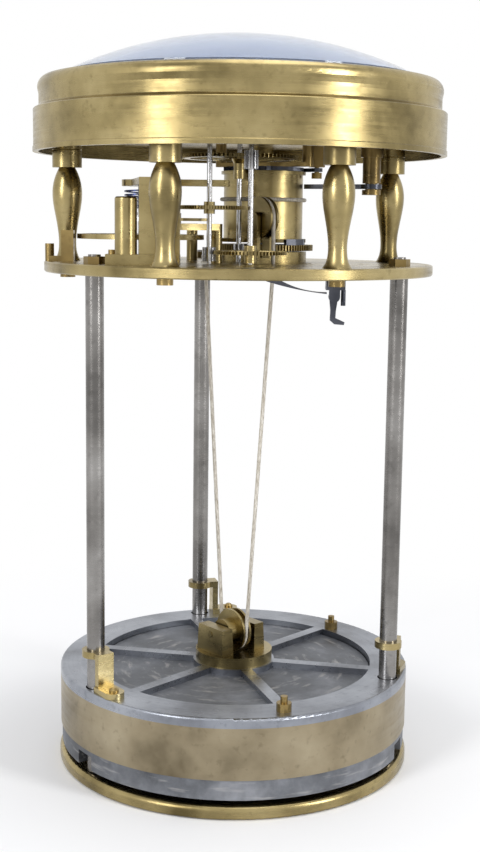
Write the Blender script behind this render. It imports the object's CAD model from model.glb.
import bpy
import math
from mathutils import Matrix, Vector


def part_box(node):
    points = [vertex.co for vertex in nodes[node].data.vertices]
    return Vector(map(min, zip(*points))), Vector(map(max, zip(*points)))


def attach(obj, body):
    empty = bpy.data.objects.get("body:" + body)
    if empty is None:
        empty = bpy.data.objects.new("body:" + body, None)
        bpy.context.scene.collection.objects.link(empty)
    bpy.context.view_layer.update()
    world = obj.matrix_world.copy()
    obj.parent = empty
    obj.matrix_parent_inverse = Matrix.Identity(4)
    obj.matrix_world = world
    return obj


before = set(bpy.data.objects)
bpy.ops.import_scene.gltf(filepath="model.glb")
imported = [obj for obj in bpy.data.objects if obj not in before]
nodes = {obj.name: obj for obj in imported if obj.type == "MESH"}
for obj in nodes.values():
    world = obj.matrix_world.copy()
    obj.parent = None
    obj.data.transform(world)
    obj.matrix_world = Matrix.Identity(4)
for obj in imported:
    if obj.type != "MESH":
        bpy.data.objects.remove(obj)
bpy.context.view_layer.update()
collection = bpy.context.scene.collection


# Materials

class Shader:
    """One node material under construction."""

    def __init__(self, name):
        self.material = bpy.data.materials.new(name)
        self.material.use_nodes = True
        self.tree = self.material.node_tree
        self.surface = self.tree.nodes["Principled BSDF"]
        self.coords = self.tree.nodes.new("ShaderNodeTexCoord").outputs["Object"]

    def node(self, kind, **values):
        made = self.tree.nodes.new(kind)
        for key, value in values.items():
            if key in made.inputs:
                made.inputs[key].default_value = value
            else:
                setattr(made, key, value)
        return made

    def link(self, source, target):
        self.tree.links.new(source, target)

    def mapped(self, scale, place=(0, 0, 0)):
        mapping = self.node("ShaderNodeMapping", Scale=scale, Location=place)
        self.link(self.coords, mapping.inputs["Vector"])
        return mapping.outputs["Vector"]

    def noise(self, vector, scale, detail=3.0, roughness=0.55):
        made = self.node("ShaderNodeTexNoise", Scale=scale, Detail=detail, Roughness=roughness)
        self.link(vector, made.inputs["Vector"])
        return made.outputs["Fac"]

    def ramp(self, source, stops):
        made = self.node("ShaderNodeValToRGB")
        elements = made.color_ramp.elements
        elements[0].position, elements[0].color = stops[0][0], (*stops[0][1], 1)
        elements[1].position, elements[1].color = stops[-1][0], (*stops[-1][1], 1)
        for position, colour in stops[1:-1]:
            elements.new(position).color = (*colour, 1)
        self.link(source, made.inputs["Fac"])
        return made.outputs["Color"]

    def spread(self, source, low, high, from_low=0.3, from_high=0.7):
        made = self.node("ShaderNodeMapRange")
        made.inputs["From Min"].default_value = from_low
        made.inputs["From Max"].default_value = from_high
        made.inputs["To Min"].default_value = low
        made.inputs["To Max"].default_value = high
        self.link(source, made.inputs["Value"])
        return made.outputs["Result"]

    def math(self, operation, a, b=None):
        made = self.node("ShaderNodeMath", operation=operation)
        for socket, value in zip(made.inputs, (a, b)):
            if value is None:
                continue
            if isinstance(value, (int, float)):
                socket.default_value = value
            else:
                self.link(value, socket)
        return made.outputs[0]

    def mix(self, factor, a, b, blend="MIX"):
        made = self.tree.nodes.new("ShaderNodeMix")
        made.data_type = "RGBA"
        made.blend_type = blend
        for socket, value in zip((made.inputs[0], made.inputs[6], made.inputs[7]), (factor, a, b)):
            if isinstance(value, (int, float)):
                socket.default_value = value
            elif isinstance(value, tuple):
                socket.default_value = (*value, 1)
            else:
                self.link(value, socket)
        return made.outputs[2]

    def bump(self, height, strength, distance, normal=None):
        made = self.node("ShaderNodeBump", Strength=strength, Distance=distance)
        self.link(height, made.inputs["Height"])
        if normal is not None:
            self.link(normal, made.inputs["Normal"])
        return made.outputs["Normal"]

    def set(self, **values):
        for key, value in values.items():
            socket = self.surface.inputs[key.replace("_", " ")]
            if isinstance(value, (int, float)):
                socket.default_value = value
            elif isinstance(value, tuple):
                socket.default_value = (*value, 1) if len(value) == 3 else value
            else:
                self.link(value, socket)

    def around(self, centre=(0, 0)):
        """Angle and radius about a vertical axis, and the height."""
        split = self.node("ShaderNodeSeparateXYZ")
        self.link(self.mapped((1, 1, 1), (-centre[0], -centre[1], 0)), split.inputs[0])
        angle = self.math("ARCTAN2", split.outputs[1], split.outputs[0])
        across = self.math("POWER", split.outputs[0], 2)
        along = self.math("POWER", split.outputs[1], 2)
        return angle, self.math("SQRT", self.math("ADD", across, along)), split.outputs[2]


def metal(
    name, dark, base, pale, roughness, centre=None, ring=900.0, stain=0.35, scratch=0.25, length=14.0
):
    """Worked metal: tone patches, fine tool lines round an axis or along X, and light wear."""
    s = Shader(name)
    patches = s.noise(s.coords, 38.0, 4.0)
    tone = s.ramp(patches, ((0.30, dark), (0.52, base), (0.75, pale)))
    spots = s.noise(s.coords, 420.0, 2.0)
    tone = s.mix(s.spread(spots, 0.0, stain, 0.58, 0.75), tone, dark)
    if centre is None:
        lines = s.noise(s.mapped((length, length, ring * 0.6)), 1.0, 2.0)
    else:
        angle, radius, height = s.around(centre)
        joined = s.node("ShaderNodeCombineXYZ")
        s.link(s.math("MULTIPLY", angle, 0.6), joined.inputs[0])
        s.link(s.math("MULTIPLY", radius, ring), joined.inputs[1])
        s.link(s.math("MULTIPLY", height, ring), joined.inputs[2])
        lines = s.noise(joined.outputs[0], 1.0, 2.0)
    marks = s.noise(s.mapped((160, 160, 900)), 1.0, 2.0)
    normal = s.bump(lines, 0.12 * scratch * 4, 0.00003)
    s.set(
        Base_Color=tone,
        Metallic=1.0,
        Roughness=s.math(
            "ADD",
            s.spread(lines, roughness - 0.05, roughness + 0.07),
            s.spread(marks, -0.02, 0.05),
        ),
        Normal=s.bump(spots, 0.05, 0.00005, normal),
    )
    return s.material


def lead_material():
    """Dull cast lead with pale scrapes and darker pits."""
    s = Shader("cast_lead")
    patches = s.noise(s.coords, 60.0, 5.0, 0.65)
    tone = s.ramp(
        patches, ((0.28, (0.070, 0.074, 0.082)), (0.5, (0.155, 0.163, 0.18)), (0.72, (0.28, 0.29, 0.315)))
    )
    angle, radius, height = s.around()
    joined = s.node("ShaderNodeCombineXYZ")
    s.link(s.math("MULTIPLY", angle, 4.0), joined.inputs[0])
    s.link(s.math("MULTIPLY", radius, 420.0), joined.inputs[1])
    s.link(s.math("MULTIPLY", height, 520.0), joined.inputs[2])
    scrapes = s.noise(joined.outputs[0], 1.0, 3.0)
    tone = s.mix(s.spread(scrapes, 0.0, 0.6, 0.56, 0.72), tone, (0.44, 0.43, 0.42))
    pits = s.noise(s.coords, 900.0, 3.0)
    normal = s.bump(scrapes, 0.35, 0.00012)
    s.set(
        Base_Color=tone,
        Metallic=0.65,
        Roughness=s.spread(patches, 0.46, 0.68),
        Normal=s.bump(pits, 0.3, 0.0001, normal),
    )
    return s.material


def glass_material():
    """Clear crystal with a faint grey-blue tint."""
    s = Shader("crystal_glass")
    haze = s.noise(s.coords, 55.0, 3.0)
    s.set(
        Base_Color=s.ramp(haze, ((0.3, (0.55, 0.64, 0.82)), (0.7, (0.62, 0.70, 0.86)))),
        Roughness=s.spread(haze, 0.01, 0.05),
        Transmission_Weight=0.9,
        IOR=1.5,
    )
    return s.material


def cord_material():
    """Pale twisted gut cord."""
    s = Shader("twisted_cord")
    fibres = s.noise(s.mapped((2600, 2600, 500)), 1.0, 3.0)
    patches = s.noise(s.coords, 120.0, 2.0)
    tone = s.ramp(fibres, ((0.3, (0.30, 0.26, 0.20)), (0.5, (0.52, 0.48, 0.41)), (0.72, (0.74, 0.71, 0.65))))
    s.set(
        Base_Color=s.mix(s.spread(patches, 0.0, 0.3), tone, (0.34, 0.30, 0.24)),
        Roughness=0.62,
        Sheen_Weight=0.25,
        Normal=s.bump(fibres, 0.5, 0.00006),
    )
    return s.material


def dial_material():
    """Silvered white dial with a fine grain."""
    s = Shader("silvered_dial")
    grain = s.noise(s.coords, 1500.0, 2.0)
    patches = s.noise(s.coords, 30.0, 3.0)
    tone = s.ramp(patches, ((0.3, (0.74, 0.73, 0.68)), (0.7, (0.82, 0.81, 0.77))))
    s.set(
        Base_Color=tone,
        Metallic=0.25,
        Roughness=s.spread(grain, 0.38, 0.5),
        Normal=s.bump(grain, 0.12, 0.00003),
    )
    return s.material


def ink_material():
    """Black wax of the dial's figures, slightly worn."""
    s = Shader("black_wax")
    wear = s.noise(s.coords, 800.0, 3.0)
    s.set(
        Base_Color=s.ramp(wear, ((0.35, (0.012, 0.012, 0.013)), (0.75, (0.05, 0.05, 0.052)))),
        Roughness=s.spread(wear, 0.35, 0.55),
    )
    return s.material


FLOOR_FADE_START = 0.08
FLOOR_FADE_END = 0.26


def seen_rays(shader, paths):
    """1 on camera, glossy and transmission rays."""
    total = shader.math("ADD", paths.outputs["Is Camera Ray"], paths.outputs["Is Glossy Ray"])
    return shader.math("MINIMUM", shader.math("ADD", total, paths.outputs["Is Transmission Ray"]), 1.0)


def stage_material():
    """Pale floor that shows the shadow near the object and turns plain white further out."""
    s = Shader("pale_floor")
    mottle = s.noise(s.coords, 3.0, 2.0)
    s.set(
        Base_Color=s.ramp(mottle, ((0.3, (0.86, 0.86, 0.87)), (0.7, (0.90, 0.90, 0.91)))),
        Roughness=0.8,
    )
    _, radius, _ = s.around()
    away = s.spread(radius, 0.0, 1.0, FLOOR_FADE_START, FLOOR_FADE_END)
    paths = s.tree.nodes.new("ShaderNodeLightPath")
    white = s.tree.nodes.new("ShaderNodeEmission")
    blend = s.tree.nodes.new("ShaderNodeMixShader")
    s.link(s.math("MULTIPLY", away, seen_rays(s, paths)), blend.inputs[0])
    s.link(s.surface.outputs[0], blend.inputs[1])
    s.link(white.outputs[0], blend.inputs[2])
    s.link(blend.outputs[0], s.tree.nodes["Material Output"].inputs["Surface"])
    return s.material


olive = ((0.13, 0.10, 0.042), (0.34, 0.27, 0.125), (0.50, 0.41, 0.21))
shell_brass = metal(
    "brass_satin", (0.13, 0.105, 0.065), (0.30, 0.25, 0.165), (0.42, 0.36, 0.25), 0.34, centre=(0, 0)
)
grey_ring = metal("brass_grey", (0.12, 0.125, 0.14), (0.27, 0.285, 0.32), (0.40, 0.42, 0.46), 0.30, centre=(0, 0))
brass_round = metal("brass_turned", *olive, 0.25, centre=(0, 0))
brass_plain = metal("brass_drawn", *olive, 0.27, ring=500.0)
brass_dark = metal("brass_tarnished", (0.10, 0.07, 0.03), (0.30, 0.215, 0.085), (0.44, 0.33, 0.15), 0.33)
steel_blue = metal(
    "steel_rod", (0.10, 0.095, 0.09), (0.24, 0.23, 0.22), (0.38, 0.37, 0.36), 0.24, ring=1200.0
)
steel_dark = metal("steel_dark", (0.035, 0.037, 0.045), (0.11, 0.115, 0.135), (0.2, 0.21, 0.24), 0.3)
steel_bright = metal("steel_bright", (0.30, 0.30, 0.31), (0.55, 0.55, 0.56), (0.72, 0.72, 0.73), 0.2)
hand_blue = metal("hand_blued", (0.008, 0.012, 0.04), (0.016, 0.028, 0.10), (0.03, 0.05, 0.16), 0.18)
lead = lead_material()
glass = glass_material()
cord_look = cord_material()
dial_look = dial_material()
ink = ink_material()

ROUND_BRASS = ("base_plate", "movement_plate", "top_plate", "bezel")
PLAIN_BRASS = (
    "pillar_left", "pillar_front_left", "pillar_front_right", "pillar_right", "pillar_back",
    "guide_brackets", "pulley_block", "weight_pulley", "return_pulley", "return_bracket", "cord_drum",
    "great_wheel", "centre_wheel", "third_wheel", "fourth_wheel", "escape_wheel", "balance_wheel",
    "balance_cock", "escape_bridge", "minute_wheel", "hour_wheel",
)
LOOKS = {
    **dict.fromkeys(ROUND_BRASS, brass_round),
    **dict.fromkeys(PLAIN_BRASS, brass_plain),
    "weight_shell": shell_brass,
    "weight_top_plate": grey_ring,
    **dict.fromkeys(
        ("drum_bridge", "stop_post", "balance_stop", "frame_fasteners", "weight_fasteners"), brass_dark
    ),
    **dict.fromkeys(("guide_rod_left", "guide_rod_right", "guide_rod_back"), steel_blue),
    **dict.fromkeys(
        ("winding_arbor", "click", "holding_click", "stop_arm", "hooked_lever", "lever_spring",
         "lever_block"),
        steel_dark,
    ),
    **dict.fromkeys(
        ("centre_arbor", "third_arbor", "fourth_arbor", "escape_arbor", "balance_staff", "detent",
         "cannon_pinion"),
        steel_bright,
    ),
    **dict.fromkeys(("hour_hand", "minute_hand", "seconds_hand", "balance_spring"), hand_blue),
    **dict.fromkeys(("cord_runs", "cord_at_weight", "cord_upper", "cord_on_drum"), cord_look),
    "weight_lead": lead,
    "crystal": glass,
    "dial": dial_look,
}


def dress(obj, material):
    obj.data.materials.clear()
    obj.data.materials.append(material)
    return obj


for name, obj in nodes.items():
    dress(obj, LOOKS[name])


# Dial: plain hour figures, minute marks and a seconds circle
DIAL_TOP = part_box("dial")[1][2] + 0.00003
FIGURE_RADIUS = 0.043
FIGURE_SIZE = 0.0085
MARK_INNER, MARK_OUTER = 0.0505, 0.0535
SECONDS_OUTER = 0.0115
SECONDS_MARK = 0.0014
MINUTE_HALF_WIDTH, SECONDS_HALF_WIDTH = 0.00022, 0.00009
MINUTES, LONG_EVERY, HOURS = 60, 5, 12


def bar(angle, inner, outer, half, centre):
    """Corners of one flat mark that points at the centre."""
    out = Vector((math.sin(angle), math.cos(angle), 0))
    side = Vector((math.cos(angle), -math.sin(angle), 0))
    corners = ((inner, -half), (inner, half), (outer, half), (outer, -half))
    return [centre + out * r + side * w for r, w in corners]


def marks(name, centre, inner, outer, count, long_every, half):
    vertices, faces = [], []
    for i in range(count):
        long = i % long_every == 0
        start = inner - (outer - inner) * 0.5 if long else inner
        first = len(vertices)
        vertices += bar(math.tau * i / count, start, outer, half * (2.0 if long else 1.0), centre)
        faces.append((first, first + 1, first + 2, first + 3))
    made = dress(mesh_object(name, [tuple(v) for v in vertices], faces), ink)
    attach(made, "frame")
    return made


def figure(text, place, size):
    curve = bpy.data.curves.new("figure_" + text, "FONT")
    curve.body = text
    curve.size = size
    curve.align_x, curve.align_y = "CENTER", "CENTER"
    made = bpy.data.objects.new("figure_" + text, curve)
    made.location = place
    curve.materials.append(ink)
    collection.objects.link(made)
    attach(made, "frame")
    return made


def mesh_object(name, vertices, faces):
    data = bpy.data.meshes.new(name)
    data.from_pydata(vertices, [], faces)
    data.update()
    obj = bpy.data.objects.new(name, data)
    collection.objects.link(obj)
    return obj


centre = Vector((0, 0, DIAL_TOP))
low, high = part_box("fourth_arbor")
seconds_centre = Vector(((low[0] + high[0]) / 2, (low[1] + high[1]) / 2, DIAL_TOP))
marks("minute_marks", centre, MARK_INNER, MARK_OUTER, MINUTES, LONG_EVERY, MINUTE_HALF_WIDTH)
marks(
    "seconds_marks", seconds_centre, SECONDS_OUTER - SECONDS_MARK, SECONDS_OUTER,
    MINUTES, LONG_EVERY, SECONDS_HALF_WIDTH,
)
for hour in range(1, HOURS + 1):
    turn = math.tau * hour / HOURS
    place = centre + Vector((math.sin(turn), math.cos(turn), 0)) * FIGURE_RADIUS
    if (place - seconds_centre).length > SECONDS_OUTER + FIGURE_SIZE * 0.6:
        figure(str(hour), place, FIGURE_SIZE)


# Camera at the photograph's place
EYE = Vector((0, -0.43529, 0.17584))
PITCH, ROLL, YAW = (math.radians(a) for a in (8.65, 0.73, 0.15))
LENS = 56.96
ahead = Vector((math.sin(YAW) * math.cos(PITCH), math.cos(YAW) * math.cos(PITCH), -math.sin(PITCH)))
level_right = Vector((math.cos(YAW), -math.sin(YAW), 0))
level_up = level_right.cross(ahead)
right = math.cos(ROLL) * level_right + math.sin(ROLL) * level_up
above = math.cos(ROLL) * level_up - math.sin(ROLL) * level_right
camera = bpy.data.objects.new("camera", bpy.data.cameras.new("camera"))
camera.data.lens = LENS
camera.data.sensor_width = 36.0
camera.data.clip_start = 0.01
camera.matrix_world = Matrix.Translation(EYE) @ Matrix((right, above, -ahead)).transposed().to_4x4()
collection.objects.link(camera)
bpy.context.scene.camera = camera


# Floor, sky and lamps
HALF = 3.0
FLOOR_DROP = 0.0002
floor = mesh_object(
    "floor", [(-HALF, -HALF, 0), (HALF, -HALF, 0), (HALF, HALF, 0), (-HALF, HALF, 0)], [(0, 1, 2, 3)]
)
floor.location.z = -FLOOR_DROP
dress(floor, stage_material())


def lamp(name, place, target, size, power, colour=(1, 1, 1)):
    light = bpy.data.lights.new(name, "AREA")
    light.shape = "RECTANGLE"
    light.size, light.size_y = size
    light.energy = power
    light.color = colour
    obj = bpy.data.objects.new(name, light)
    obj.location = place
    obj.rotation_euler = (Vector(target) - Vector(place)).to_track_quat("-Z", "Y").to_euler()
    collection.objects.link(obj)
    return obj


AIM = (0, 0, 0.14)
lamp("key_left", (-0.71, -0.84, 0.55), AIM, (0.28, 0.8), 7.0)
lamp("key_right", (0.89, -0.57, 0.5), AIM, (0.22, 0.8), 7.0)
lamp("top", (0.1, 0.1, 1.3), AIM, (0.9, 0.9), 6.0)

world = bpy.data.worlds.new("studio")
world.use_nodes = True
bpy.context.scene.world = world
sky = world.node_tree
background = sky.nodes["Background"]
paths = sky.nodes.new("ShaderNodeLightPath")
choose = sky.nodes.new("ShaderNodeMix")
choose.data_type = "RGBA"
rays = sky.nodes.new("ShaderNodeMath")
rays.operation = "ADD"
sky.links.new(paths.outputs["Is Camera Ray"], rays.inputs[0])
sky.links.new(paths.outputs["Is Glossy Ray"], rays.inputs[1])
all_rays = sky.nodes.new("ShaderNodeMath")
all_rays.operation = "ADD"
all_rays.use_clamp = True
sky.links.new(rays.outputs[0], all_rays.inputs[0])
sky.links.new(paths.outputs["Is Transmission Ray"], all_rays.inputs[1])
sky.links.new(all_rays.outputs[0], choose.inputs[0])
choose.inputs[6].default_value = (0.52, 0.53, 0.55, 1)
choose.inputs[7].default_value = (1, 1, 1, 1)
sky.links.new(choose.outputs[2], background.inputs["Color"])
bpy.context.scene.view_settings.view_transform = "Standard"
